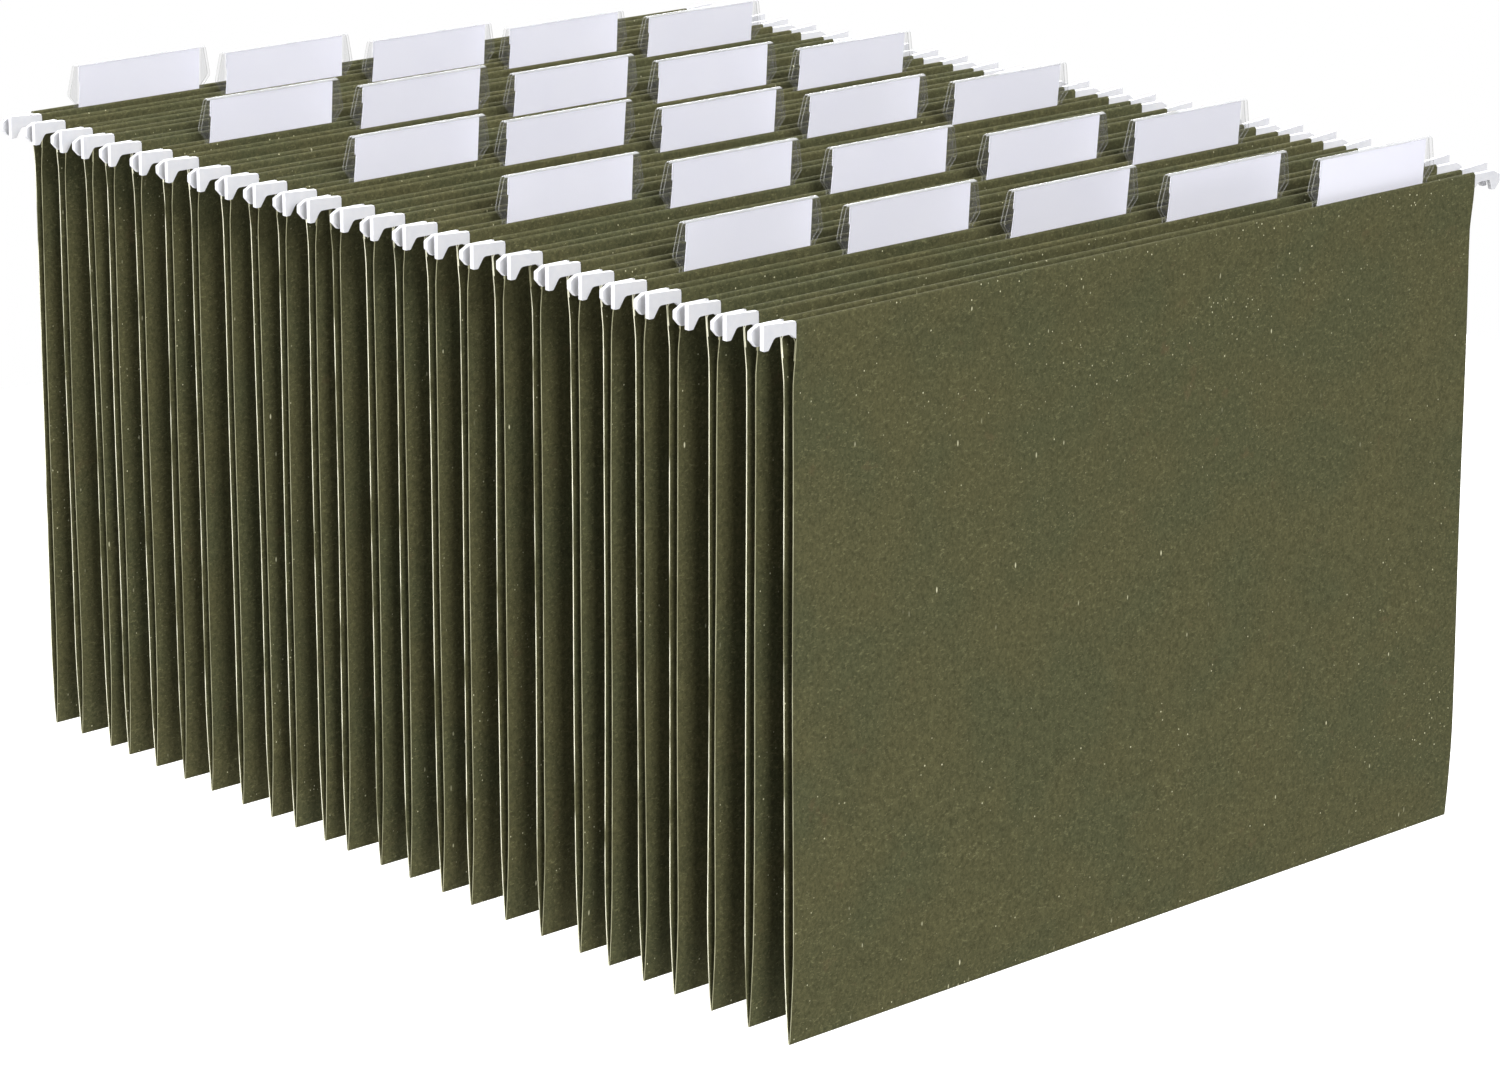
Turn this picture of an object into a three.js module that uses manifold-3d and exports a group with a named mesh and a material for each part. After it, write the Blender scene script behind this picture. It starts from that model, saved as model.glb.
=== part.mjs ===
// A drawer's worth of hanging file folders, side by side as they hang on two rails.
// Every folder is one paper jacket folded into a narrow V, with a flat rod in the hem of each
// panel, a coated hook on each rod end and a clear tab with a blank paper insert.
// The front folder is modelled piece by piece, and the others as a jacket and a tab.
// Millimetres. X runs along the rods, Y from the front folder to the rear one, Z up.

import * as THREE from 'three';
import { mergeVertices } from 'three/addons/utils/BufferGeometryUtils.js';
import Module from 'manifold-3d';

const wasm = await Module();
wasm.setup();

// Jacket
const PANEL_WIDTH = 298.45;
const PANEL_HEIGHT = 222.25;
const PAPER = 0.4;
const FOLD_HEIGHT = 35; // the height over which the two panels run together
const ROD_GAP = 5.4; // from the front rod to the rear rod of one folder

// Hem round each rod
const HEM_HEIGHT = 9.5;
const HEM_TAPER = 3; // the glued lower end of the hem
const HEM_WALL = 0.35;
const CLEARANCE = 0.3;

// Rod
const ROD_THICKNESS = 0.8;
const ROD_HEIGHT = 4.5;

// Hook on a rod end, measured out from the panel's side and down from the hem's top. A rod has
// the square hook on its one end and the low one, with its outer corners cut off, on the other.
// The rear rod is the front rod turned about, so a square hook is always beside a low one.
const HOOK_REACH = 12.7;
const HOOK_THICKNESS = 1.6;
const HOOK_SHANK = 6; // the length that goes into the hem
const NOTCH_START = 2.4;
const NOTCH_DROP = 3.5; // the rail's top edge lies here
const PRONG_DROP = 7;
const SQUARE_NOTCH_END = 8.5;
const SQUARE_SLANT = 2.3; // how far the prong's inner side leans out on its way down
const SQUARE_RISE = 0.8; // how far its outer end stands above the hem
const SQUARE_CHAMFER = 0.4;
const LOW_NOTCH_END = 7.8;
const LOW_SLANT = 1.2;
const LOW_TOP_CUT = 2.9; // its cut corners, out and up
const LOW_TOP_DROP = 1.5;
const LOW_FOOT_CUT = 2.1;
const LOW_FOOT_RISE = 2.3;

// Tab, measured from the insert's left edge and up from the hem's top
const INSERT_WIDTH = 50.8;
const INSERT_HEIGHT = 15.9;
const INSERT_THICKNESS = 0.25;
const INSERT_NICK = 0.5; // the small nick in the upper half of its left edge
const TAB_SHEET = 0.5;
const TAB_SIDE = 1.2;
const TAB_EAR = 4.1;
const TAB_EAR_RISE = 4.2;
const TAB_SHOULDER = 2;
const TAB_CORNER = 1.2;
const TAB_RIDGE = 1.2;
const TAB_WAIST = 0.5;
const TAB_SEAT_DEPTH = 3.2;
const TAB_FLOOR = 1.2;
const PRONG_REACH = 8; // the prongs behind the hem
const PRONG_WIDTH = 12;
const PRONG_INSET = 3;

// Places of the tabs, from the left side, and of the folders, front to rear
const PLACE_COUNT = 5;
const FIRST_TAB = 17;
const TAB_PITCH = 52;
const SPACING = 16;
const SPACING_OFFSETS = [ // how much more room than that each next folder hangs with
  0, 0.5, 1.5, -0.5, -1, -0.5, 2, 2, 1.5, 0, 0.5, -0.5,
  1.5, -3, 0, -0.5, -0.5, 2, -1, 2, 0, -3, 0.5, -1.5,
];

const HALF_WIDTH = PANEL_WIDTH / 2;
const HEM_THICKNESS = ROD_THICKNESS + 2 * (HEM_WALL + CLEARANCE);
const HEM_BOTTOM = PANEL_HEIGHT - HEM_HEIGHT;
const HEM_STRAIGHT = HEM_BOTTOM + HEM_TAPER;
const ROD_TOP = PANEL_HEIGHT - HEM_WALL - CLEARANCE;
const FOLD_CENTRE = ROD_GAP / 2;
const TAB_SLOT = INSERT_THICKNESS + 2 * CLEARANCE;
const TAB_THICKNESS = 2 * TAB_SHEET + TAB_SLOT;
const TAB_FRONT = HEM_THICKNESS / 2 + CLEARANCE;
const SLOT_LOW = TAB_FLOOR - TAB_SEAT_DEPTH;
const SLOT_HIGH = SLOT_LOW + INSERT_HEIGHT + 2 * CLEARANCE;
const TAB_RISE = SLOT_HIGH + TAB_RIDGE;

const paperMaterial = new THREE.MeshStandardMaterial({ color: 0x4d4c35, roughness: 0.92, metalness: 0 });
const steelMaterial = new THREE.MeshStandardMaterial({ color: 0x9a9c9e, roughness: 0.35, metalness: 1 });
const coatedMaterial = new THREE.MeshStandardMaterial({ color: 0xebebee, roughness: 0.45, metalness: 0 });
const insertMaterial = new THREE.MeshStandardMaterial({ color: 0xe9e9f3, roughness: 0.8, metalness: 0 });
const clearMaterial = new THREE.MeshStandardMaterial({
  color: 0xdfe3ea,
  roughness: 0.08,
  metalness: 0,
  transparent: true,
  opacity: 0.35,
});

function shapeOf(points) {
  return new THREE.Shape(points.map(([across, up]) => new THREE.Vector2(across, up)));
}

// A prism whose section, in Y and Z, runs along X from one end to the other.
function prismAlongX(section, from, to) {
  const geometry = new THREE.ExtrudeGeometry(section, { depth: to - from, bevelEnabled: false });
  const turned = new THREE.Matrix4().makeBasis(
    new THREE.Vector3(0, 1, 0),
    new THREE.Vector3(0, 0, 1),
    new THREE.Vector3(1, 0, 0),
  );
  geometry.applyMatrix4(turned);
  geometry.translate(from, 0, 0);
  return geometry;
}

// A flat plate whose outline is in X and Z, with its front face at y = front.
function plate(outline, front, thickness) {
  const geometry = new THREE.ExtrudeGeometry(shapeOf(outline), { depth: thickness, bevelEnabled: false });
  geometry.rotateX(Math.PI / 2);
  geometry.translate(0, front + thickness, 0);
  return geometry;
}

function solidOf(geometry) {
  const bare = geometry.clone();
  bare.deleteAttribute('normal');
  bare.deleteAttribute('uv');
  const merged = mergeVertices(bare, 1e-4);
  return new wasm.Manifold(new wasm.Mesh({
    numProp: 3,
    vertProperties: new Float32Array(merged.attributes.position.array),
    triVerts: new Uint32Array(merged.index.array),
  }));
}

function geometryOf(solid) {
  const mesh = solid.getMesh();
  const geometry = new THREE.BufferGeometry();
  geometry.setAttribute('position', new THREE.BufferAttribute(mesh.vertProperties, 3));
  geometry.setIndex(new THREE.BufferAttribute(mesh.triVerts, 1));
  geometry.computeVertexNormals();
  return geometry;
}

const joined = (geometries) => geometryOf(geometries.map(solidOf).reduce((whole, next) => whole.add(next)));
const cut = (geometry, tool) => geometryOf(solidOf(geometry).subtract(solidOf(tool)));
const mirroredInX = (outline) => outline.map(([x, z]) => [-x, z]).reverse();

// The V at the foot: where the inside of the fold comes to its point.
const FOLD_INSIDE = FOLD_HEIGHT * (1 - (FOLD_CENTRE - PAPER / 2) / (FOLD_CENTRE + PAPER / 2));

// One side of the jacket's section, from the foot of its outer face up and back down its inner
// face. Side is -1 for the front panel and 1 for the rear one.
function hemOutline(side) {
  const rod = side < 0 ? 0 : ROD_GAP;
  return [
    [rod + side * PAPER / 2, HEM_BOTTOM],
    [rod + side * HEM_THICKNESS / 2, HEM_STRAIGHT],
    [rod + side * HEM_THICKNESS / 2, PANEL_HEIGHT],
    [rod - side * HEM_THICKNESS / 2, PANEL_HEIGHT],
    [rod - side * HEM_THICKNESS / 2, HEM_STRAIGHT],
    [rod - side * PAPER / 2, HEM_BOTTOM],
  ];
}

// The whole jacket's section as one closed outline.
function jacketSection() {
  const rear = hemOutline(1);
  const front = hemOutline(-1).reverse();
  return shapeOf([
    [FOLD_CENTRE, 0],
    [ROD_GAP + PAPER / 2, FOLD_HEIGHT],
    ...rear,
    [ROD_GAP - PAPER / 2, FOLD_HEIGHT],
    [FOLD_CENTRE, FOLD_INSIDE],
    [PAPER / 2, FOLD_HEIGHT],
    ...front,
    [-PAPER / 2, FOLD_HEIGHT],
  ]);
}

// One loose panel's section, stopping just short of its hem and of the fold's middle.
function panelSection(side) {
  const top = HEM_BOTTOM - CLEARANCE;
  const rod = side < 0 ? 0 : ROD_GAP;
  const end = FOLD_CENTRE + side * CLEARANCE / 2;
  const outerFoot = FOLD_HEIGHT * (CLEARANCE / 2) / (FOLD_CENTRE + PAPER / 2);
  const innerFoot = FOLD_INSIDE + (FOLD_HEIGHT - FOLD_INSIDE) * (CLEARANCE / 2) / (FOLD_CENTRE - PAPER / 2);
  return shapeOf([
    [rod + side * PAPER / 2, top],
    [rod + side * PAPER / 2, FOLD_HEIGHT],
    [end, outerFoot],
    [end, innerFoot],
    [rod - side * PAPER / 2, FOLD_HEIGHT],
    [rod - side * PAPER / 2, top],
  ]);
}

// One loose hem: a flat paper tube, open at both ends for the rod.
function hemSection(side) {
  const section = shapeOf(hemOutline(side));
  const rod = side < 0 ? 0 : ROD_GAP;
  const half = ROD_THICKNESS / 2 + CLEARANCE;
  const top = PANEL_HEIGHT - HEM_WALL;
  const bottom = top - ROD_HEIGHT - 2 * CLEARANCE;
  section.holes.push(new THREE.Path([
    new THREE.Vector2(rod - half, bottom),
    new THREE.Vector2(rod + half, bottom),
    new THREE.Vector2(rod + half, top),
    new THREE.Vector2(rod - half, top),
  ]));
  return section;
}

// The square hook outside the hem, on the right-hand end.
function squareHook(innerEnd) {
  const end = HALF_WIDTH + HOOK_REACH;
  const foot = PANEL_HEIGHT - PRONG_DROP;
  const crown = PANEL_HEIGHT + SQUARE_RISE;
  return [
    [HALF_WIDTH + innerEnd, ROD_TOP - ROD_HEIGHT],
    [HALF_WIDTH + CLEARANCE, ROD_TOP - ROD_HEIGHT],
    [HALF_WIDTH + NOTCH_START, PANEL_HEIGHT - NOTCH_DROP],
    [HALF_WIDTH + SQUARE_NOTCH_END, PANEL_HEIGHT - NOTCH_DROP],
    [HALF_WIDTH + SQUARE_NOTCH_END + SQUARE_SLANT, foot],
    [end - SQUARE_CHAMFER, foot],
    [end, foot + SQUARE_CHAMFER],
    [end, crown - SQUARE_CHAMFER],
    [end - SQUARE_CHAMFER, crown],
    [HALF_WIDTH + CLEARANCE, PANEL_HEIGHT],
    [HALF_WIDTH + CLEARANCE, ROD_TOP],
    [HALF_WIDTH + innerEnd, ROD_TOP],
  ];
}

// The low hook, on the right-hand end.
function lowHook(innerEnd) {
  const end = HALF_WIDTH + HOOK_REACH;
  const foot = PANEL_HEIGHT - PRONG_DROP;
  return [
    [HALF_WIDTH + innerEnd, ROD_TOP - ROD_HEIGHT],
    [HALF_WIDTH + CLEARANCE, ROD_TOP - ROD_HEIGHT],
    [HALF_WIDTH + NOTCH_START, PANEL_HEIGHT - NOTCH_DROP],
    [HALF_WIDTH + LOW_NOTCH_END, PANEL_HEIGHT - NOTCH_DROP],
    [HALF_WIDTH + LOW_NOTCH_END + LOW_SLANT, foot],
    [end - LOW_FOOT_CUT, foot],
    [end, foot + LOW_FOOT_RISE],
    [end, ROD_TOP - LOW_TOP_DROP],
    [end - LOW_TOP_CUT, ROD_TOP],
    [HALF_WIDTH + innerEnd, ROD_TOP],
  ];
}

// The square hook is on the front rod's left end and on the rear rod's right end.
const hookOutline = (hand, rod, innerEnd) => (
  (hand < 0) === (rod === 0) ? squareHook(innerEnd) : lowHook(innerEnd)
);

// Its shank, which fills the same height of the hem as the rod does.
function shankOutline() {
  return [
    [HALF_WIDTH - HOOK_SHANK, ROD_TOP - ROD_HEIGHT],
    [HALF_WIDTH + 2 * CLEARANCE, ROD_TOP - ROD_HEIGHT],
    [HALF_WIDTH + 2 * CLEARANCE, ROD_TOP],
    [HALF_WIDTH - HOOK_SHANK, ROD_TOP],
  ];
}

function placedHook(hand, rod, innerEnd) {
  const outline = hookOutline(hand, rod, innerEnd);
  return plate(hand < 0 ? mirroredInX(outline) : outline, rod - HOOK_THICKNESS / 2, HOOK_THICKNESS);
}

function looseHook(hand, rod) {
  const shank = hand < 0 ? mirroredInX(shankOutline()) : shankOutline();
  return joined([
    placedHook(hand, rod, CLEARANCE),
    plate(shank, rod - ROD_THICKNESS / 2, ROD_THICKNESS),
  ]);
}

function looseRod(rod) {
  const end = HALF_WIDTH - HOOK_SHANK - CLEARANCE;
  const section = shapeOf([
    [rod - ROD_THICKNESS / 2, ROD_TOP - ROD_HEIGHT],
    [rod + ROD_THICKNESS / 2, ROD_TOP - ROD_HEIGHT],
    [rod + ROD_THICKNESS / 2, ROD_TOP],
    [rod - ROD_THICKNESS / 2, ROD_TOP],
  ]);
  return prismAlongX(section, -end, end);
}

// A whole jacket with its glued-in rods and their hooks.
function jacket() {
  const hooks = [0, ROD_GAP].flatMap((rod) => [-1, 1].map((hand) => placedHook(hand, rod, -2)));
  return joined([prismAlongX(jacketSection(), -HALF_WIDTH, HALF_WIDTH), ...hooks]);
}

// The clear tab's outline, with ears at the sides and two prongs that go down behind the hem.
function tabOutline() {
  const right = [
    [INSERT_WIDTH - PRONG_INSET - PRONG_WIDTH, -TAB_SEAT_DEPTH],
    [INSERT_WIDTH - PRONG_INSET - PRONG_WIDTH, -PRONG_REACH],
    [INSERT_WIDTH - PRONG_INSET, -PRONG_REACH],
    [INSERT_WIDTH - PRONG_INSET, -TAB_SEAT_DEPTH],
    [INSERT_WIDTH + TAB_SIDE, -TAB_SEAT_DEPTH],
    [INSERT_WIDTH + TAB_SIDE, TAB_WAIST],
    [INSERT_WIDTH + TAB_EAR, TAB_EAR_RISE],
    [INSERT_WIDTH + TAB_SHOULDER, TAB_RISE - TAB_CORNER],
    [INSERT_WIDTH + TAB_SHOULDER - TAB_CORNER, TAB_RISE],
  ];
  const left = right.map(([x, z]) => [INSERT_WIDTH - x, z]).reverse();
  return [...right, ...left].map(([x, z]) => [x, z + PANEL_HEIGHT]);
}

const closedTab = () => plate(tabOutline(), TAB_FRONT, TAB_THICKNESS);

function slottedTab() {
  const reach = TAB_EAR + CLEARANCE;
  const slot = [
    [-reach, PANEL_HEIGHT + SLOT_LOW],
    [INSERT_WIDTH + reach, PANEL_HEIGHT + SLOT_LOW],
    [INSERT_WIDTH + reach, PANEL_HEIGHT + SLOT_HIGH],
    [-reach, PANEL_HEIGHT + SLOT_HIGH],
  ];
  return cut(closedTab(), plate(slot, TAB_FRONT + TAB_SHEET, TAB_SLOT));
}

function insert() {
  const bottom = PANEL_HEIGHT + SLOT_LOW + CLEARANCE;
  const middle = bottom + INSERT_HEIGHT / 2;
  const outline = [
    [0, bottom],
    [INSERT_WIDTH, bottom],
    [INSERT_WIDTH, bottom + INSERT_HEIGHT],
    [INSERT_NICK, bottom + INSERT_HEIGHT],
    [INSERT_NICK, middle],
    [0, middle],
  ];
  return plate(outline, TAB_FRONT + TAB_SHEET + CLEARANCE, INSERT_THICKNESS);
}

function piece(name, geometry, material) {
  const mesh = new THREE.Mesh(geometry, material.clone());
  mesh.name = name;
  return mesh;
}

// The tab's place across the folder: rightmost on the front folder, then one place to the left
// on each folder behind it, over and over.
function tabLeft(index) {
  const across = PLACE_COUNT - 1 - (index % PLACE_COUNT);
  return FIRST_TAB + across * TAB_PITCH - HALF_WIDTH;
}

function tabGroup(index, ...pieces) {
  const holder = new THREE.Group();
  holder.position.x = tabLeft(index);
  holder.add(...pieces);
  return holder;
}

// The front folder, with every piece by itself.
function frontFolder() {
  const folder = new THREE.Group();
  const sides = [
    { word: 'front', side: -1, rod: 0 },
    { word: 'rear', side: 1, rod: ROD_GAP },
  ];
  for (const { word, side, rod } of sides) {
    folder.add(piece(
      `folder_01_${word}_panel`,
      prismAlongX(panelSection(side), -HALF_WIDTH, HALF_WIDTH),
      paperMaterial,
    ));
    folder.add(piece(
      `folder_01_${word}_hem`,
      prismAlongX(hemSection(side), -HALF_WIDTH, HALF_WIDTH),
      paperMaterial,
    ));
    folder.add(piece(`folder_01_${word}_rod`, looseRod(rod), steelMaterial));
    folder.add(piece(`folder_01_${word}_hook_left`, looseHook(-1, rod), coatedMaterial));
    folder.add(piece(`folder_01_${word}_hook_right`, looseHook(1, rod), coatedMaterial));
  }
  folder.add(tabGroup(
    0,
    piece('folder_01_tab', slottedTab(), clearMaterial),
    piece('folder_01_insert', insert(), insertMaterial),
  ));
  return folder;
}

const jacketGeometry = jacket();
const tabGeometry = closedTab();

function plainFolder(index) {
  const folder = new THREE.Group();
  const number = String(index + 1).padStart(2, '0');
  folder.add(piece(`folder_${number}_jacket`, jacketGeometry, paperMaterial));
  folder.add(tabGroup(index, piece(`folder_${number}_tab`, tabGeometry, clearMaterial)));
  return folder;
}

// The origin is below the middle of the whole row, at the height of the folds.
const group = new THREE.Group();
const steps = [0, ...SPACING_OFFSETS.map((offset) => SPACING + offset)];
const rowLength = steps.reduce((sum, next) => sum + next, 0);
let place = -(rowLength + ROD_GAP) / 2;
steps.forEach((step, index) => {
  place += step;
  const folder = index === 0 ? frontFolder() : plainFolder(index);
  folder.position.y = place;
  group.add(folder);
});

export default group;
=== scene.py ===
"""Looks for a row of hanging file folders, hung one behind the other as on a drawer's rails.

Sizes are in millimetres and are turned into metres as each mesh is made. The lamps and the floor
are in metres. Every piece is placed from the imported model's own nodes: a folder's place is that
of its rods.
"""

import math
import random

import bmesh
import bpy
import numpy as np
from mathutils import Matrix, Vector


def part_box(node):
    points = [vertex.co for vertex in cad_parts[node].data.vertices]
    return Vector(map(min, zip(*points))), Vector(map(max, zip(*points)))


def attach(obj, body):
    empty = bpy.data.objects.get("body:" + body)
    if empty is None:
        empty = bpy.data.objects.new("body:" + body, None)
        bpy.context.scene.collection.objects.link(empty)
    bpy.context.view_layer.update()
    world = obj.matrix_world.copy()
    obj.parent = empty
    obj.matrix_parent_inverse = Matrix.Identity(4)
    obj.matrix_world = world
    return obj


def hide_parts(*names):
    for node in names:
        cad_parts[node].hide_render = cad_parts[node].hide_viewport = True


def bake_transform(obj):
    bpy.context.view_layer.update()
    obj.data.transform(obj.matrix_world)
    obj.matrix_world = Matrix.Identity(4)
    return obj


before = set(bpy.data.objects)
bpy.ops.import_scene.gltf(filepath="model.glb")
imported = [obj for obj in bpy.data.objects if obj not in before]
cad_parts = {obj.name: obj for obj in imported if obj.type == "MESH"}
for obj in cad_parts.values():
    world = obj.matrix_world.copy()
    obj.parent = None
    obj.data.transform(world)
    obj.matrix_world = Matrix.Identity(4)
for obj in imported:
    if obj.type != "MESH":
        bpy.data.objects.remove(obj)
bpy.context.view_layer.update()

MM = 0.001
SEED = 100

# Jacket, as in the solid model
PANEL_WIDTH = 298.45
PANEL_HEIGHT = 222.25
ROD_GAP = 5.4
HALF_WIDTH = PANEL_WIDTH / 2
HEM_HALF = 1.05

# Paper and its course from the hem to the fold
PAPER = 0.4
HEM_BEND = 0.68
PANEL_INSET = 0.8
HEM_STRAIGHT = 4.0
HEM_EASE = 22.0
FLAP_START = 4.6
FLAP_GLUED = 6.6
FLAP_END = 12.0
GLUE_GAP = 0.02
FOLD_HEIGHT = 35.0
FOLD_RADIUS = 0.25
PAPER_SHARP = 35

# Where the paper's mesh is divided: down from the hem's top, up from the fold, and across from
# the left side at -1 to the middle
FLAP_DROPS = (4.2, 2.8, 1.6)
HEM_DROPS = (
    1.8, 2.8, 4.0, 5.2, 6.4, 7.4, 8.2, 8.8, 9.2,
    9.6, 10.0, 10.5, 11.2, 12.2, 13.4, 14.8, 16.4, 19,
)
PANEL_START_DROP = 26
PANEL_END = FOLD_HEIGHT + 4
FLAP_POINTS = 4
BEND_POINTS = 7
CREST_POINTS = 9
PANEL_POINTS = 10
FOLD_POINTS = 4
FOLD_HEIGHTS = (35, 31, 27, 23, 19, 15, 11.5, 8, 5, 2.5, 1.2)
LEFT_COLUMNS = (-1, -0.993, -0.97, -0.93, -0.86, -0.76, -0.64, -0.5, -0.34, -0.17)

# Rod and hooks, measured out from the panel's side and down from the hem's top
ROD_THICKNESS = 0.8
ROD_HEIGHT = 4.5
ROD_DROP = 0.65
ROD_FOOT = ROD_DROP + ROD_HEIGHT
ROD_END_GAP = 0.3
ROD_ROUNDING = 0.4
METAL_BEVEL = 0.2
SHANK = 6.0
HOOK_THICKNESS = 1.6
THINNING = 0.2
HOOK_START = 0.3
HOOK_REACH = 12.7
NOTCH_START = 2.4
NOTCH_DROP = 3.5
PRONG_DROP = 7.0

# Each hook's outline as out, up and the corner's rounding
SQUARE_HOOK = [
    (-SHANK, -ROD_FOOT, 0.2),
    (HOOK_START, -ROD_FOOT, 0.4),
    (NOTCH_START, -NOTCH_DROP, 0.8),
    (8.5, -NOTCH_DROP, 0.8),
    (10.8, -PRONG_DROP, 0.25),
    (HOOK_REACH, -PRONG_DROP, 0.3),
    (HOOK_REACH, 0.8, 0.25),
    (HOOK_START, 0.0, 0.15),
    (HOOK_START, -ROD_DROP, 0.1),
    (-SHANK, -ROD_DROP, 0.2),
]
LOW_HOOK = [
    (-SHANK, -ROD_FOOT, 0.2),
    (HOOK_START, -ROD_FOOT, 0.4),
    (NOTCH_START, -NOTCH_DROP, 0.8),
    (7.8, -NOTCH_DROP, 0.8),
    (9.0, -PRONG_DROP, 0.25),
    (10.6, -PRONG_DROP, 0.3),
    (HOOK_REACH, -4.7, 0.3),
    (HOOK_REACH, -ROD_DROP - 1.5, 0.3),
    (9.8, -ROD_DROP, 0.3),
    (-SHANK, -ROD_DROP, 0.2),
]

# Insert, from its left edge and the hem's top, with its corners' roundings
INSERT_WIDTH = 50.8
INSERT_HEIGHT = 15.9
INSERT_LOW = -1.7
INSERT_THICKNESS = 0.25
INSERT_BEVEL = 0.04
INSERT_ROUNDING = (0.3, 0.3, 0.5, 0.4, 0.1, 0.1)
INSERT_NICK = 0.5
NICK_RISE = 10.2
NICK_SLOPE = 0.1

# Tab, from the insert's left edge, the rod's middle and the hem's top. Its reach past the
# insert's sides is listed as height and reach.
TAB_SHEET = 0.35
TAB_FRONT = 1.35
TAB_THICKNESS = 1.85
TAB_LOW = -3.2
TAB_RISE = 14.95
TAB_CORNER = 1.2
TAB_CROWN = 0.65
TAB_SHARP = 50
TAB_REACH = [
    (TAB_LOW, 1.2), (0.3, 1.2), (0.9, 1.5), (3.8, 3.9), (4.6, 4.05), (6.0, 3.85), (TAB_RISE, 2.0),
]
TAB_CREST_POINTS = 9
TAB_HEIGHTS = (TAB_LOW, -1.0, 0.3, 0.9, 2.3, 3.8, 4.2, 4.6, 6.0, 8.0, 10.5, 12.8, 13.6)
EAR_COLUMNS = (1.0, 0.9, 0.5)
INSERT_COLUMNS = (0, 0.1, 0.5, 0.9, 1)
PRONG_WIDTH = 12.0
PRONG_INSET = 3.0
PRONG_HEIGHTS = (-8.0, -6.0, TAB_LOW + 0.1)
PRONG_COLUMNS = (0, 0.3, 0.5, 0.7, 1)
TAB_LEAN = 4.5
TAB_LEAN_SPREAD = 1.5

# Plates: how much of its side a rounded corner may take, the drift in metres and the turn in
# radians that tell an edge of the rim, and the turn in degrees that shows as a sharp edge
CORNER_SHARE = 0.49
RIM_DRIFT = 1e-7
RIM_TURN = 1
PLATE_SHARP = 50
PLATE_FLAT = 0.99

# How far each folder's foot sways to the rear, front folder first, from the photograph
SWAY = [
    -1.5, 0.5, 1.0, 0.5, -0.5, 1.0, -0.5, 0.5, 0.5, 0.5, -0.5, 0.0, 0.0,
    0.5, 0.0, 0.5, -1.5, -0.5, -0.5, 0.5, -0.5, 0.0, -1.5, 0.0, 1.5,
]
COUNT = len(SWAY)

# The sway's start below the hem's top, and how far a panel's sides and middle curl. Curls and
# ripples fade out below the curls' foot.
SWAY_DROP = 8
SIDE_CURL = 0.5
MIDDLE_CURL = 0.3
CURL_FOOT = 30
RIPPLE_LEAST = 0.05
RIPPLE_MOST = 0.2
RIPPLE_WAVES = 3.2
RIPPLE_ONSET = 5
PHASE_MOST = 6

# The photograph's frame and camera
IMAGE_WIDTH = 1500
FOCAL_PIXELS = 4698.0
SENSOR = 36.0
CAMERA_YAW = -41.745
CAMERA_PITCH = 14.64
CAMERA_ROLL = 0.12
CAMERA_PLACE = (-1022.6, -1155.2, 550.7)
CAMERA_SHIFT = -0.12
CAMERA_FAR = 20

# Room in metres, with each lamp's name, place, size and power
LAMPS = [
    ("key_softbox", (-2.5, -7.7, 4.0), 3.0, 655),
    ("side_softbox", (-3.5, 0.0, 1.2), 1.6, 165),
    ("right_softbox", (3.5, -0.2, 1.1), 1.6, 75),
    ("top_softbox", (0.1, 0.3, 1.9), 1.2, 15),
    ("rear_softbox", (2.4, 2.9, 1.6), 2.0, 150),
]
LAMP_AIM = (0, 0, 0.12)
SKY = 0.17
FLOOR_DROP = 0.6
FLOOR_SIZE = 5
FLOOR_SHADE = (0.5, 0.5, 0.5)
FLOOR_GLOW = 0.7
WHITE = (1, 1, 1)


def linear(level):
    """A level of 0 to 255 on screen, as linear light."""
    value = level / 255
    if value <= 0.04045:
        return value / 12.92
    return ((value + 0.055) / 1.055) ** 2.4


def srgb(red, green, blue):
    return linear(red), linear(green), linear(blue)


# Colours
OLIVE = srgb(93, 92, 63)
MOSS = srgb(90, 91, 63)
BROWN = srgb(96, 94, 64)
PALE_PULP = srgb(122, 120, 86)
RED_PULP = srgb(99, 84, 60)
FIBRE = srgb(222, 218, 182)
CLOUD_SHADE = (0.88, 0.88, 0.88)
GRAIN_SHADE = (0.56, 0.56, 0.54)
PALE_EDGE = (srgb(190, 188, 162), srgb(220, 218, 194))
# A darker copy of the cut edge's colours for the front panel's edges: painted shade.
SHADED_EDGE = (srgb(118, 116, 90), srgb(142, 140, 112))
WORN_EDGE = srgb(110, 108, 82)
COATING = (srgb(216, 216, 219), srgb(209, 210, 215))
STEEL = (srgb(150, 152, 155), srgb(190, 192, 195))
CARD = (srgb(239, 239, 249), srgb(237, 237, 248))

FIBRE_FADE = 0.1

# The paper's sets of fibres: the turn in degrees, the stretch, the cells to a millimetre, how
# high a cell's random value is where it has a fibre, and the fibre's reach in cells
FIBRES = [
    (0, 0.35, 0.24, 0.80, 0.09),
    (55, 0.3, 0.26, 0.86, 0.09),
    (115, 0.4, 0.3, 0.84, 0.1),
    (80, 0.9, 0.42, 0.83, 0.13),
    (20, 0.8, 0.62, 0.77, 0.16),
]


def smooth(value):
    """Runs from 0 to 1 and is level at both ends."""
    value = np.clip(value, 0, 1)
    return value * value * (3 - 2 * value)


def add_object(name, data):
    made = bpy.data.objects.new(name, data)
    bpy.context.scene.collection.objects.link(made)
    return made


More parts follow.
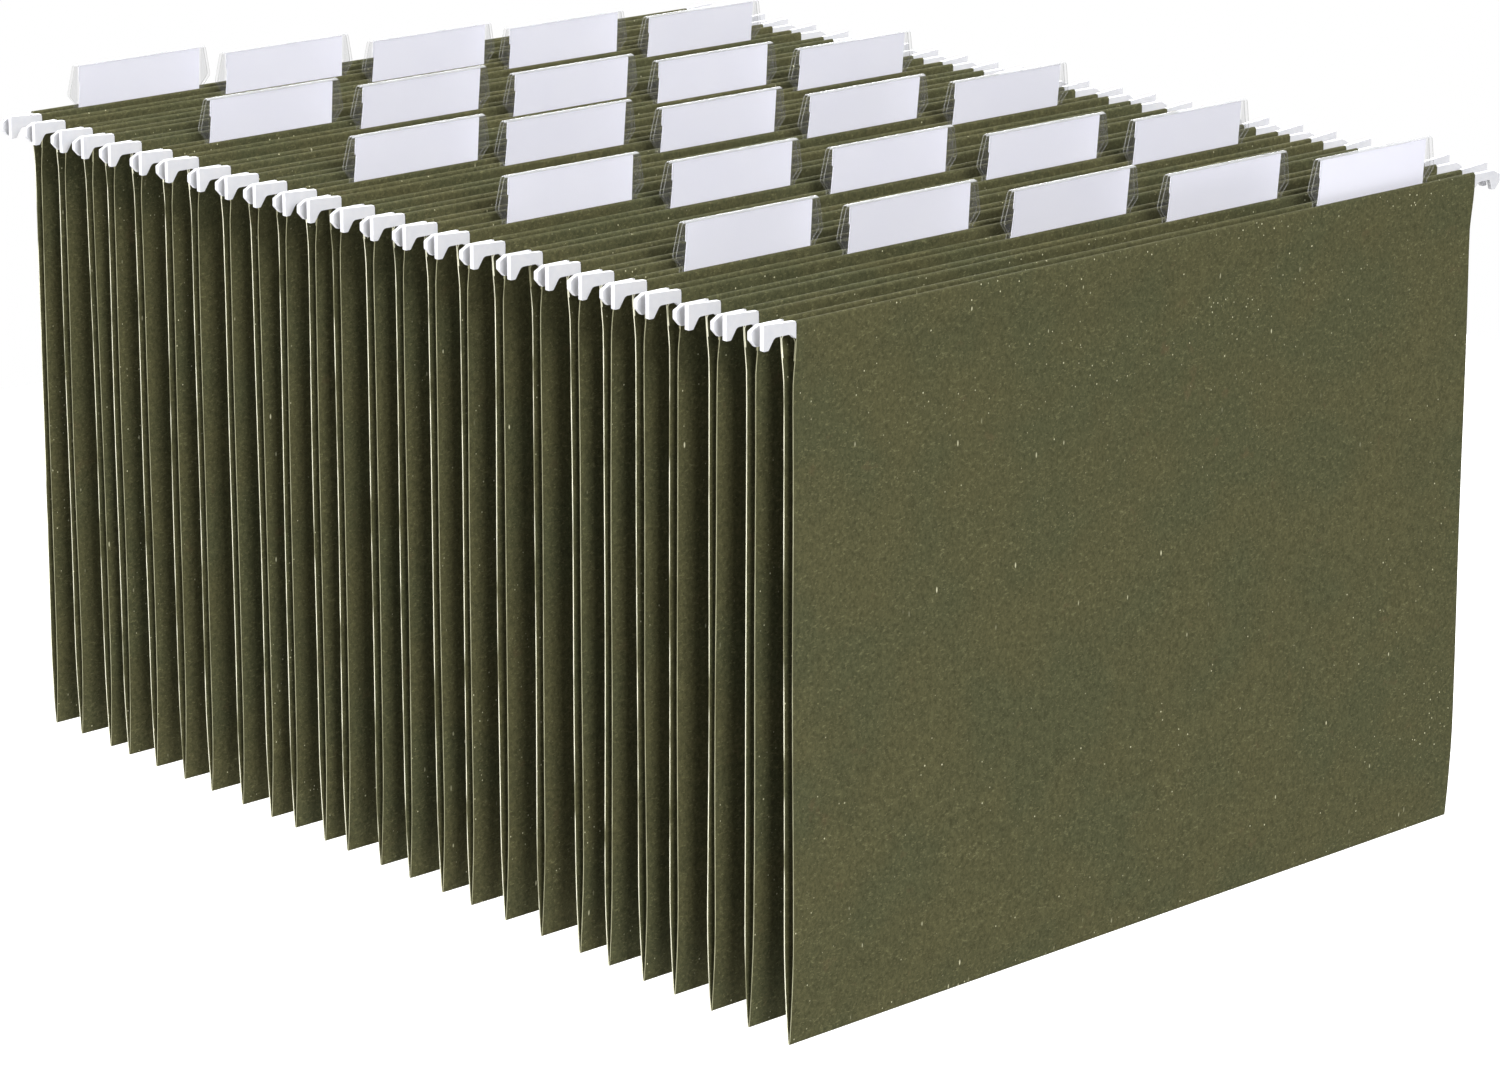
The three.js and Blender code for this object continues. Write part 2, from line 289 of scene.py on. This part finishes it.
# Camera
def make_camera():
    yaw, pitch, roll = (math.radians(v) for v in (CAMERA_YAW, CAMERA_PITCH, CAMERA_ROLL))
    back = Vector((
        math.sin(yaw) * math.cos(pitch),
        -math.cos(yaw) * math.cos(pitch),
        math.sin(pitch),
    ))
    level = (-back).cross(Vector((0, 0, 1))).normalized()
    upright = level.cross(-back)
    right = level * math.cos(roll) + upright * math.sin(roll)
    up = upright * math.cos(roll) - level * math.sin(roll)
    data = bpy.data.cameras.new("camera")
    data.sensor_width = SENSOR
    data.lens = FOCAL_PIXELS / IMAGE_WIDTH * SENSOR
    data.shift_y = CAMERA_SHIFT
    data.clip_end = CAMERA_FAR
    camera = add_object("camera", data)
    turn = Matrix((right, up, back)).transposed().to_4x4()
    camera.matrix_world = Matrix.Translation(Vector(CAMERA_PLACE) * MM) @ turn
    bpy.context.scene.camera = camera


# Materials
class Nodes:
    """A small help to build a tree of shader nodes."""

    def __init__(self, tree):
        self.tree = tree

    def add(self, kind, inputs=None, **settings):
        node = self.tree.nodes.new(kind)
        for key, value in settings.items():
            setattr(node, key, value)
        for key, value in (inputs or {}).items():
            self.feed(node.inputs[key], value)
        return node

    def feed(self, socket, value):
        """Gives a socket another node's output, or a value of its own."""
        if isinstance(value, bpy.types.NodeSocket):
            self.tree.links.new(value, socket)
        elif socket.type == "RGBA":
            socket.default_value = (*value, 1)
        else:
            socket.default_value = value

    def places(self, scale=(1, 1, 1), turn=(0, 0, 0), at=(0, 0, 0)):
        """The object's own coordinates in millimetres, turned and stretched."""
        coordinates = self.add("ShaderNodeTexCoord")
        mapping = self.add(
            "ShaderNodeMapping",
            {
                "Vector": coordinates.outputs["Object"],
                "Scale": tuple(s / MM for s in scale),
                "Rotation": tuple(math.radians(t) for t in turn),
                "Location": at,
            },
        )
        return mapping.outputs["Vector"]

    def noise(self, vector, scale, detail=2.0, roughness=0.5):
        inputs = {"Vector": vector, "Scale": scale, "Detail": detail, "Roughness": roughness}
        return self.add("ShaderNodeTexNoise", inputs).outputs["Fac"]

    def ramp(self, value, stops):
        """A colour for each value, from stops of value and colour."""
        node = self.add("ShaderNodeValToRGB", {"Fac": value})
        ramp = node.color_ramp
        while len(ramp.elements) < len(stops):
            ramp.elements.new(0.5)
        for element, (place, colour) in zip(ramp.elements, stops):
            element.position = place
            element.color = (*colour, 1)
        return node.outputs["Color"]

    def levels(self, value, low, high):
        """Runs from 0 at low to 1 at high."""
        inputs = {"Value": value, "From Min": low, "From Max": high}
        return self.add("ShaderNodeMapRange", inputs, clamp=True).outputs["Result"]

    def mix(self, share, first, second, kind="MIX"):
        node = self.add("ShaderNodeMix", {0: share}, data_type="RGBA", blend_type=kind)
        colours = [s for s in node.inputs if s.type == "RGBA"]
        for socket, value in zip(colours, (first, second)):
            self.feed(socket, value)
        return [s for s in node.outputs if s.type == "RGBA"][0]

    def math(self, operation, first, second):
        inputs = {0: first, 1: second}
        return self.add("ShaderNodeMath", inputs, operation=operation).outputs[0]


class Look(Nodes):
    """A material and its nodes."""

    def __init__(self, name):
        self.material = bpy.data.materials.new(name)
        self.material.use_nodes = True
        super().__init__(self.material.node_tree)
        self.shader = self.tree.nodes["Principled BSDF"]

    def set(self, **values):
        for key, value in values.items():
            self.feed(self.shader.inputs[key.replace("_", " ")], value)

    def bump(self, height, strength, distance):
        inputs = {"Height": height, "Strength": strength, "Distance": distance * MM}
        self.set(Normal=self.add("ShaderNodeBump", inputs).outputs["Normal"])


def fibre_set(look, turn, stretch, size, least, reach):
    """Where one set of short fibres lies: 1 on a fibre and 0 beside it."""
    vector = look.places(scale=(1.0, 1.0, stretch), turn=(0, turn, 0), at=(turn, 3.0, turn * 2))
    cell = look.add("ShaderNodeTexVoronoi", {"Vector": vector, "Scale": size, "Randomness": 1.0})
    chosen = look.levels(cell.outputs["Color"], least, least + FIBRE_FADE)
    near = look.levels(cell.outputs["Distance"], reach, reach / 2)
    return look.math("MULTIPLY", chosen, near)


def speckled_paper(name):
    """Olive recycled stock: fine dark and light pulp, some of it reddish, with pale fibres."""
    look = Look(name)
    at = look.places()
    base = look.ramp(look.noise(at, 0.03), [(0.38, MOSS), (0.5, OLIVE), (0.62, BROWN)])
    clouds = look.noise(look.places(scale=(1, 1, 1.25)), 0.22, detail=5.0, roughness=0.62)
    base = look.mix(look.levels(clouds, 0.62, 0.4), base, CLOUD_SHADE, "MULTIPLY")
    grain = look.noise(look.places(scale=(1, 1, 0.8), turn=(0, 35, 0)), 0.85, detail=4.0, roughness=0.75)
    base = look.mix(look.levels(grain, 0.66, 0.36), base, GRAIN_SHADE, "MULTIPLY")
    turned = look.places(scale=(0.7, 1, 1.3), turn=(0, -40, 0), at=(9, 0, 5))
    pale = look.noise(turned, 0.95, detail=3.0, roughness=0.7)
    base = look.mix(look.levels(pale, 0.56, 0.78), base, PALE_PULP)
    red = look.noise(look.places(at=(40, 10, 70)), 0.11, detail=3.0, roughness=0.6)
    base = look.mix(look.levels(red, 0.66, 0.95), base, RED_PULP)
    fibres = 0.0
    for row in FIBRES:
        fibres = look.math("MAXIMUM", fibres, fibre_set(look, *row))
    base = look.mix(fibres, base, FIBRE)
    look.set(Base_Color=base, Roughness=0.86, Specular_IOR_Level=0.12)
    look.bump(look.noise(at, 0.9, detail=5.0, roughness=0.65), strength=0.5, distance=0.08)
    return look.material


def cut_edge(name, low, high):
    """The paper's cut edge, paler than its face, with streaks along it."""
    look = Look(name)
    streaks = look.noise(look.places(scale=(1, 1, 0.15)), 0.9, detail=3.0, roughness=0.6)
    worn = look.noise(look.places(at=(5, 5, 5)), 0.05)
    colour = look.ramp(streaks, [(0.35, low), (0.65, high)])
    colour = look.mix(look.levels(worn, 0.5, 0.65), colour, WORN_EDGE)
    look.set(Base_Color=colour, Roughness=0.9)
    look.bump(streaks, strength=0.3, distance=0.05)
    return look.material


def coated_hook():
    """White coating over the steel, a little uneven and faintly rubbed."""
    look = Look("white_coating")
    at = look.places()
    uneven = look.noise(at, 0.35, detail=3.0)
    rubbed = look.noise(at, 1.8, detail=4.0, roughness=0.7)
    colour = look.mix(look.levels(uneven, 0.35, 0.7), *COATING)
    look.set(Base_Color=colour, Roughness=look.levels(rubbed, -0.4, 1.6), Specular_IOR_Level=0.4)
    look.bump(uneven, strength=0.25, distance=0.12)
    return look.material


def rod_steel():
    """Cold-rolled strip with fine lines along it."""
    look = Look("rod_steel")
    lines = look.noise(look.places(scale=(0.02, 1, 1)), 3.0, detail=4.0, roughness=0.6)
    colour = look.ramp(lines, list(zip((0.3, 0.7), STEEL)))
    look.set(Base_Color=colour, Metallic=1.0, Roughness=look.levels(lines, -0.6, 1.8))
    look.bump(lines, strength=0.2, distance=0.03)
    return look.material


def insert_paper():
    """Smooth white stock with a cool cast and a faint tooth."""
    look = Look("insert_paper")
    at = look.places()
    colour = look.mix(look.levels(look.noise(at, 0.05), 0.35, 0.65), *CARD)
    look.set(Base_Color=colour, Roughness=0.75, Specular_IOR_Level=0.2)
    look.bump(look.noise(at, 2.5, detail=4.0, roughness=0.6), strength=0.15, distance=0.03)
    return look.material


def clear_sheet(name, face_alpha, rim_alpha, colour):
    """Clear moulded sheet: hardly there seen straight on, and milky where it is seen edge on."""
    look = Look(name)
    haze = look.noise(look.places(), 0.12)
    facing = look.add("ShaderNodeLayerWeight", {"Blend": 0.3}).outputs["Facing"]
    inputs = {
        "Value": facing, "From Min": 0.6, "From Max": 0.97, "To Min": face_alpha, "To Max": rim_alpha,
    }
    alpha = look.add("ShaderNodeMapRange", inputs).outputs["Result"]
    shade = look.mix(look.levels(haze, 0.3, 0.7), colour, tuple(0.85 * c for c in colour))
    look.set(Base_Color=shade, Roughness=look.levels(haze, -1.0, 12.0), Alpha=alpha)
    look.set(Specular_IOR_Level=0.6)
    return look.material


# A sheet's looks, with the place of each one in its list
FACE, EDGE, SHADED_FRONT_EDGE = range(3)
PAPER_LOOKS = [
    speckled_paper("speckled_paper"),
    cut_edge("paper_cut_edge", *PALE_EDGE),
    # The front panel's cut edges get this darker copy: painted shade.
    cut_edge("paper_cut_edge_painted_shade", *SHADED_EDGE),
]
CLEAR, EAR, RIM, CROWN = range(4)
TAB_LOOKS = [
    clear_sheet("clear_sheet", 0.02, 0.3, (0.6, 0.6, 0.66)),
    clear_sheet("clear_sheet_ear", 0.08, 0.28, (0.16, 0.16, 0.18)),
    clear_sheet("clear_sheet_rim", 0.4, 0.6, (0.42, 0.42, 0.4)),
    clear_sheet("clear_sheet_crown", 0.45, 0.7, (0.74, 0.75, 0.77)),
]
HOOK_LOOK = coated_hook()
ROD_LOOK = rod_steel()
INSERT_LOOK = insert_paper()


# Meshes
def mesh_object(name, vertices, faces, looks, face_looks, sharp):
    """A smooth mesh, sharp where its faces turn by more than sharp degrees."""
    data = bpy.data.meshes.new(name)
    data.from_pydata([tuple(float(c) * MM for c in v) for v in vertices], [], faces)
    for look in looks:
        data.materials.append(look)
    data.polygons.foreach_set("material_index", face_looks)
    data.polygons.foreach_set("use_smooth", [True] * len(faces))
    data.set_sharp_from_angle(angle=math.radians(sharp))
    outward_normals(data)
    return add_object(name, data)


def outward_normals(data):
    work = bmesh.new()
    work.from_mesh(data)
    bmesh.ops.recalc_face_normals(work, faces=work.faces)
    work.to_mesh(data)
    work.free()


def grid_row(xs, y, z):
    """One row of a sheet's centre points."""
    return np.stack([xs, np.full_like(xs, y), np.full_like(xs, z)], axis=1)


def thick_sheet(centres, half):
    """Vertices, faces and each face's look for a sheet round a grid of centre points.

    centres is rows by columns by three. The look is FACE on the sheet's sides and EDGE round it.
    """
    rows, columns = centres.shape[:2]
    normals = np.cross(np.gradient(centres, axis=0), np.gradient(centres, axis=1))
    normals /= np.linalg.norm(normals, axis=2, keepdims=True)
    sides = [centres + normals * half, centres - normals * half]
    vertices = np.concatenate([side.reshape(-1, 3) for side in sides])
    other = rows * columns
    faces, looks = [], []
    for row in range(rows - 1):
        for column in range(columns - 1):
            here = row * columns + column
            next_row = here + columns
            faces.append((here, next_row, next_row + 1, here + 1))
            faces.append((other + here, other + here + 1, other + next_row + 1, other + next_row))
            looks += [FACE, FACE]
    for row in range(rows - 1):
        for column, turned in ((0, False), (columns - 1, True)):
            here = row * columns + column
            next_row = here + columns
            face = (here, other + here, other + next_row, next_row)
            faces.append(face[::-1] if turned else face)
            looks.append(EDGE)
    for column in range(columns - 1):
        for row, turned in ((0, True), (rows - 1, False)):
            here = row * columns + column
            face = (here, other + here, other + here + 1, here + 1)
            faces.append(face[::-1] if turned else face)
            looks.append(EDGE)
    return vertices, faces, looks


def joined(parts):
    """Vertices, faces and looks of several sheets as one."""
    vertices, faces, looks = [], [], []
    for part_vertices, part_faces, part_looks in parts:
        start = len(vertices)
        vertices += list(part_vertices)
        faces += [tuple(start + i for i in face) for face in part_faces]
        looks += part_looks
    return vertices, faces, looks


def arc(middle, radius, first, last, count):
    """Points on an arc between two angles in degrees."""
    angles = [math.radians(turn) for turn in np.linspace(first, last, count)]
    return [(middle[0] + radius * math.cos(a), middle[1] + radius * math.sin(a)) for a in angles]


def rounded(corners, radii, steps):
    """The outline through these corners, each cut back by its radius to a curve."""
    outline = []
    for i, radius in enumerate(radii):
        here = np.array(corners[i], float)
        before = np.array(corners[i - 1], float) - here
        after = np.array(corners[(i + 1) % len(corners)], float) - here
        shorter = min(np.linalg.norm(before), np.linalg.norm(after))
        reach = min(radius, shorter * CORNER_SHARE)
        start = here + before / np.linalg.norm(before) * reach
        end = here + after / np.linalg.norm(after) * reach
        for k in range(steps + 1):
            t = k / steps
            outline.append((1 - t) ** 2 * start + 2 * t * (1 - t) * here + t * t * end)
    return outline


def is_rim(edge):
    """Whether an edge lies between a plate's face and its side."""
    first, second = edge.verts
    return abs(first.co.y - second.co.y) < RIM_DRIFT and edge.calc_face_angle(0) > RIM_TURN


def bevelled_plate(name, outline, front, thickness, bevel, look, segments=1, cuts=()):
    """A flat plate with its outline in X and Z and its rims rounded.

    Its faces are divided where X has one of the values in cuts.
    """
    work = bmesh.new()
    ring = [work.verts.new((x * MM, front * MM, z * MM)) for x, z in outline]
    face = work.faces.new(ring)
    grown = bmesh.ops.extrude_face_region(work, geom=[face])
    moved = [v for v in grown["geom"] if isinstance(v, bmesh.types.BMVert)]
    bmesh.ops.translate(work, verts=moved, vec=(0, thickness * MM, 0))
    for cut in cuts:
        everything = [*work.verts, *work.edges, *work.faces]
        bmesh.ops.bisect_plane(work, geom=everything, plane_co=(cut * MM, 0, 0), plane_no=(1, 0, 0))
    bmesh.ops.recalc_face_normals(work, faces=work.faces)
    rims = [edge for edge in work.edges if is_rim(edge)]
    bmesh.ops.bevel(
        work, geom=rims, offset=bevel * MM, segments=segments, profile=0.5, affect="EDGES",
        clamp_overlap=True,
    )
    data = bpy.data.meshes.new(name)
    work.to_mesh(data)
    work.free()
    data.materials.append(look)
    data.set_sharp_from_angle(angle=math.radians(PLATE_SHARP))
    data.polygons.foreach_set("use_smooth", [abs(p.normal.y) < PLATE_FLAT for p in data.polygons])
    return add_object(name, data)


# Jacket
def panel_offset(height):
    """How far the panel's middle stands out of the rod's plane, at a height above the fold."""
    drop = PANEL_HEIGHT - height
    eased = smooth((drop - HEM_STRAIGHT) / (HEM_EASE - HEM_STRAIGHT))
    inward = ROD_GAP / 2 - PANEL_INSET - FOLD_RADIUS
    run = np.clip(1 - height / FOLD_HEIGHT, 0, 1)
    return HEM_BEND - (HEM_BEND + PANEL_INSET) * eased - inward * run**2


def half_course():
    """The paper's course as (out of the rod's plane, height), from the flap to the fold's middle."""
    top = PANEL_HEIGHT
    course = []
    # The flap's glued end, and its bend below the rod
    for drop in np.linspace(FLAP_END, FLAP_GLUED, FLAP_POINTS):
        course.append((panel_offset(top - drop) - PAPER - GLUE_GAP, top - drop))
    glued = course[-1][0]
    for t in np.linspace(0, 1, BEND_POINTS)[1:]:
        drop = FLAP_GLUED + (FLAP_START - FLAP_GLUED) * t
        course.append((glued + (-HEM_BEND - glued) * smooth(t), top - drop))
    # Up the rod's inner side and over its top
    for drop in FLAP_DROPS:
        course.append((-HEM_BEND, top - drop))
    course += arc((0, top - PAPER / 2 - HEM_BEND), HEM_BEND, 180, 0, CREST_POINTS)
    # Down the hem's outer side and the panel to the fold
    for drop in HEM_DROPS:
        course.append((panel_offset(top - drop), top - drop))
    panel_heights = np.linspace(top - PANEL_START_DROP, PANEL_END, PANEL_POINTS)
    for height in (*panel_heights, *FOLD_HEIGHTS):
        course.append((panel_offset(height), height))
    course += arc((-ROD_GAP / 2, PAPER / 2 + FOLD_RADIUS), FOLD_RADIUS, 0, -90, FOLD_POINTS)
    return course


HALF_COURSE = half_course()


def panel_columns():
    """Places across the panel, closer together near its sides."""
    right_columns = [-v for v in reversed(LEFT_COLUMNS)]
    return np.array([*LEFT_COLUMNS, 0, *right_columns]) * HALF_WIDTH


def draw_curl(dice):
    """How one panel curls at its sides and in its middle, and how its sides ripple."""
    return {
        "left": dice.uniform(-SIDE_CURL, SIDE_CURL),
        "right": dice.uniform(-SIDE_CURL, SIDE_CURL),
        "middle": dice.uniform(-MIDDLE_CURL, MIDDLE_CURL),
        "ripple": dice.uniform(RIPPLE_LEAST, RIPPLE_MOST),
        "phase": dice.uniform(0, PHASE_MOST),
    }


def sway_at(x, z, sway, curl):
    """How far the paper is off its straight course to the rear, nothing at the hem."""
    top = PANEL_HEIGHT - SWAY_DROP
    down = np.clip((top - z) / top, 0, 1)
    above_fold = np.clip(z / CURL_FOOT, 0, 1)
    side = (x / HALF_WIDTH) ** 2
    left = curl["left"] * side * (x < 0)
    right = curl["right"] * side * (x > 0)
    middle = curl["middle"] * (1 - side)
    waist = np.sin(np.pi * down) * above_fold
    waves = np.sin(RIPPLE_WAVES * np.pi * down + curl["phase"]) * above_fold
    ripple = curl["ripple"] * side * waves * np.clip(down * RIPPLE_ONSET, 0, 1)
    return sway * down + waist * (left + right + middle) + ripple


def half_grid(rod, side, sway, curl):
    """One panel with its hem, from the flap to the fold's middle. Side is -1 for the front."""
    xs = panel_columns()
    rows = []
    for out, height in HALF_COURSE:
        rows.append(grid_row(xs, rod + side * out + sway_at(xs, height, sway, curl), height))
    return np.array(rows)


def paper_object(name, grid, front_rows):
    """The sheet of a jacket.

    The cut edges of its first rows, the front panel's, take a darker copy of the edge's colours,
    a painted shade, and those of the hems are as the paper's face.
    """
    vertices, faces, looks = thick_sheet(grid, PAPER / 2)
    rows, columns = grid.shape[:2]
    face_looks = []
    for face, look in zip(faces, looks):
        if look == EDGE:
            if min(vertices[i][2] for i in face) > PANEL_HEIGHT - ROD_FOOT:
                look = FACE
            elif max(i % (rows * columns) for i in face) < front_rows * columns:
                look = SHADED_FRONT_EDGE
        face_looks.append(look)
    made = mesh_object(name, vertices, faces, PAPER_LOOKS, face_looks, PAPER_SHARP)
    return made


# Rods and hooks
def rod_bar(name, rod):
    half_length = HALF_WIDTH - SHANK - ROD_END_GAP
    top = PANEL_HEIGHT - ROD_DROP
    low = top - ROD_HEIGHT
    corners = [(-half_length, low), (half_length, low), (half_length, top), (-half_length, top)]
    outline = rounded(corners, [ROD_ROUNDING] * 4, steps=2)
    front = rod - ROD_THICKNESS / 2
    made = bevelled_plate(name, outline, front, ROD_THICKNESS, METAL_BEVEL, ROD_LOOK)
    return made


def hook_plate(name, hand, rod, corners):
    """The coated end of a rod: a bar with a notch for the rail and a prong outside it."""
    points = [(HALF_WIDTH + out, PANEL_HEIGHT + up) for out, up, _ in corners]
    radii = [radius for _, _, radius in corners]
    outline = [(hand * x, z) for x, z in rounded(points, radii, steps=3)]
    cuts = [hand * (HALF_WIDTH - THINNING), hand * (HALF_WIDTH + THINNING)]
    front = rod - HOOK_THICKNESS / 2
    made = bevelled_plate(
        name, outline, front, HOOK_THICKNESS, METAL_BEVEL, HOOK_LOOK, segments=2, cuts=cuts
    )
    thin_shank(made, rod)
    return made


def thin_shank(made, rod):
    """Inside the hem the coating follows the thin rod."""
    for vertex in made.data.vertices:
        inside = smooth((HALF_WIDTH + THINNING - abs(vertex.co.x) / MM) / (2 * THINNING))
        slim = 1 - inside * (1 - ROD_THICKNESS / HOOK_THICKNESS)
        vertex.co.y = (rod + (vertex.co.y / MM - rod) * slim) * MM


def rod_hooks(name, word, rod):
    """A rod's two hooks. The rear rod is the front one turned about."""
    square_hand = -1 if word == "front" else 1
    for end, hand in (("left", -1), ("right", 1)):
        corners = SQUARE_HOOK if hand == square_hand else LOW_HOOK
        yield end, hook_plate(f"{name}_{word}_{end}_hook", hand, rod, corners)


# Tabs and inserts
def tab_reach(height):
    """How far the tab reaches past the insert's side at a height above the hem's top."""
    reach = np.interp(height, *zip(*TAB_REACH))
    into = np.clip((height - (TAB_RISE - TAB_CORNER)) / TAB_CORNER, 0, 1)
    return reach - TAB_CORNER * (1 - math.sqrt(1 - into**2))


def tab_columns(reach):
    """Places across the tab, from ear to ear, with one on each side of the insert."""
    ear = reach * np.array(EAR_COLUMNS)
    middle = INSERT_WIDTH * np.array(INSERT_COLUMNS)
    return np.concatenate([-ear, middle, INSERT_WIDTH + ear[::-1]])


def tab_look(corners, look, left):
    """Which of the tab's looks a face has."""
    middle = sum(corner[0] for corner in corners) / len(corners) - left
    if min(corner[2] for corner in corners) > PANEL_HEIGHT + TAB_RISE - TAB_CROWN:
        return CROWN
    if look == EDGE:
        return RIM
    return CLEAR if 0 < middle < INSERT_WIDTH else EAR


def tab_lean(dice):
    """How far a tab leans to the front, in degrees."""
    return TAB_LEAN + dice.uniform(-TAB_LEAN_SPREAD, TAB_LEAN_SPREAD)


def lean_forward(made, rod, lean):
    """Turns a tab or its insert about the line where the tab's front face leaves the hem."""
    foot = Matrix.Translation((0, (rod + TAB_FRONT) * MM, PANEL_HEIGHT * MM))
    made.data.transform(foot @ Matrix.Rotation(math.radians(lean), 4, "X") @ foot.inverted())


def tab_sheet(name, left, rod, lean):
    """A clear sheet folded over at the top, with ears at its sides and prongs behind the hem."""
    half = TAB_SHEET / 2
    front = rod + TAB_FRONT + half
    rear = rod + TAB_FRONT + TAB_THICKNESS - half
    radius = (rear - front) / 2
    course = [(front, height) for height in TAB_HEIGHTS]
    crest = ((front + rear) / 2, TAB_RISE - half - radius)
    course += arc(crest, radius, 180, 0, TAB_CREST_POINTS)
    course += [(rear, height) for height in reversed(TAB_HEIGHTS)]
    rows = []
    for y, height in course:
        rows.append(grid_row(left + tab_columns(tab_reach(height)), y, PANEL_HEIGHT + height))
    parts = [thick_sheet(np.array(rows), half)]
    for start in (PRONG_INSET, INSERT_WIDTH - PRONG_INSET - PRONG_WIDTH):
        xs = left + start + np.array(PRONG_COLUMNS) * PRONG_WIDTH
        for y in (front, rear):
            prong = [grid_row(xs, y, PANEL_HEIGHT + height) for height in PRONG_HEIGHTS]
            parts.append(thick_sheet(np.array(prong), half))
    vertices, faces, looks = joined(parts)
    looks = [tab_look([vertices[i] for i in face], look, left) for face, look in zip(faces, looks)]
    made = mesh_object(name, vertices, faces, TAB_LOOKS, looks, TAB_SHARP)
    lean_forward(made, rod, lean)
    return made


def insert_card(name, left, rod, lean):
    """A card that fills the tab, with a small nick in its left edge."""
    right = left + INSERT_WIDTH
    low = PANEL_HEIGHT + INSERT_LOW
    high = low + INSERT_HEIGHT
    nick = low + NICK_RISE
    corners = [
        (left, low), (right, low), (right, high),
        (left, high), (left, nick), (left + INSERT_NICK, nick - NICK_SLOPE),
    ]
    outline = rounded(corners, INSERT_ROUNDING, steps=2)
    front = rod + TAB_FRONT + TAB_THICKNESS / 2 - INSERT_THICKNESS / 2
    made = bevelled_plate(name, outline, front, INSERT_THICKNESS, INSERT_BEVEL, INSERT_LOOK)
    lean_forward(made, rod, lean)
    return made


# Folders
def rod_places():
    """Each folder's front rod plane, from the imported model."""
    low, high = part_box("folder_01_front_rod")
    found = [(low.y + high.y) / 2 / MM]
    for number in range(2, COUNT + 1):
        low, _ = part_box(f"folder_{number:02d}_jacket")
        found.append(low.y / MM + HEM_HALF)
    return found


def insert_left(number):
    """Where a folder's insert has its left edge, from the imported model's tab."""
    low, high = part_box(f"folder_{number:02d}_tab")
    return (low.x + high.x) / 2 / MM - INSERT_WIDTH / 2


def front_folder(rod):
    """The front folder, which opens: each panel is a sheet of its own, and its rods and hooks join
    bodies of their own.
    """
    dice = random.Random(SEED + 1)
    for word, side, place in (("front", -1, rod), ("rear", 1, rod + ROD_GAP)):
        body = f"folder_01_{word}_rod_set"
        grid = half_grid(place, side, SWAY[0], draw_curl(dice))
        sheet = paper_object(f"folder_01_{word}_paper", grid, len(grid) if side < 0 else 0)
        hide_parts(f"folder_01_{word}_panel", f"folder_01_{word}_hem")
        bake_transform(sheet)
        bar = rod_bar(f"folder_01_{word}_strip", place)
        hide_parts(f"folder_01_{word}_rod")
        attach(bar, body)
        for end, hook in rod_hooks("folder_01", word, place):
            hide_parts(f"folder_01_{word}_hook_{end}")
            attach(hook, body)
    left = insert_left(1)
    lean = tab_lean(dice)
    tab = tab_sheet("folder_01_clear_tab", left, rod, lean)
    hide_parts("folder_01_tab")
    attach(tab, "folder_01_tab")
    card = insert_card("folder_01_card", left, rod, lean)
    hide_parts("folder_01_insert")
    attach(card, "folder_01_insert")


def other_folder(number, rod):
    """A folder behind the front one: its panels are one sheet, and it slides as one body."""
    dice = random.Random(SEED + number)
    name = f"folder_{number:02d}"
    body = f"{name}_jacket"
    sway = SWAY[number - 1]
    front = half_grid(rod, -1, sway, draw_curl(dice))
    rear = half_grid(rod + ROD_GAP, 1, sway, draw_curl(dice))
    sheet = paper_object(f"{name}_paper", np.concatenate([front, rear[-2::-1]]), len(front))
    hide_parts(body)
    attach(sheet, body)
    for word, place in (("front", rod), ("rear", rod + ROD_GAP)):
        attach(rod_bar(f"{name}_{word}_strip", place), body)
        for _, hook in rod_hooks(name, word, place):
            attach(hook, body)
    left = insert_left(number)
    lean = tab_lean(dice)
    tab = tab_sheet(f"{name}_clear_tab", left, rod, lean)
    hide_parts(f"{name}_tab")
    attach(tab, f"{name}_tab")
    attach(insert_card(f"{name}_card", left, rod, lean), f"{name}_tab")


# Room
def make_floor():
    """A pale floor far below, which looks white and keeps shadows."""
    look = Look("floor")
    path = look.add("ShaderNodeLightPath")
    seen = look.math("MULTIPLY", path.outputs["Is Camera Ray"], FLOOR_GLOW)
    look.set(Base_Color=FLOOR_SHADE, Roughness=0.9, Specular_IOR_Level=0.0)
    look.set(Emission_Color=WHITE, Emission_Strength=seen)
    bpy.ops.mesh.primitive_plane_add(size=FLOOR_SIZE, location=(0, 0, -FLOOR_DROP))
    floor = bpy.context.object
    floor.name = "floor"
    floor.data.materials.append(look.material)


def make_world():
    """White where it is seen, mirrored or looked at through glass, and a dim sky otherwise."""
    world = bpy.data.worlds.new("studio")
    bpy.context.scene.world = world
    world.use_nodes = True
    nodes = Nodes(world.node_tree)
    background = nodes.tree.nodes["Background"]
    path = nodes.add("ShaderNodeLightPath").outputs
    seen = nodes.math("MAXIMUM", path["Is Camera Ray"], path["Is Transmission Ray"])
    shiny = nodes.math("MAXIMUM", seen, path["Is Glossy Ray"])
    strength = nodes.add("ShaderNodeMapRange", {"Value": shiny, "To Min": SKY, "To Max": 1.0})
    nodes.feed(background.inputs["Color"], WHITE)
    nodes.feed(background.inputs["Strength"], strength.outputs["Result"])


def make_lamp(name, place, size, power):
    data = bpy.data.lights.new(name, "AREA")
    data.shape = "SQUARE"
    data.size = size
    data.energy = power
    lamp = add_object(name, data)
    lamp.location = place
    lamp.rotation_mode = "QUATERNION"
    lamp.rotation_quaternion = (Vector(LAMP_AIM) - Vector(place)).to_track_quat("-Z", "Y")


make_camera()
make_floor()
make_world()
for row in LAMPS:
    make_lamp(*row)
bpy.context.scene.view_settings.view_transform = "Standard"

places = rod_places()
front_folder(places[0])
for number in range(2, COUNT + 1):
    other_folder(number, places[number - 1])
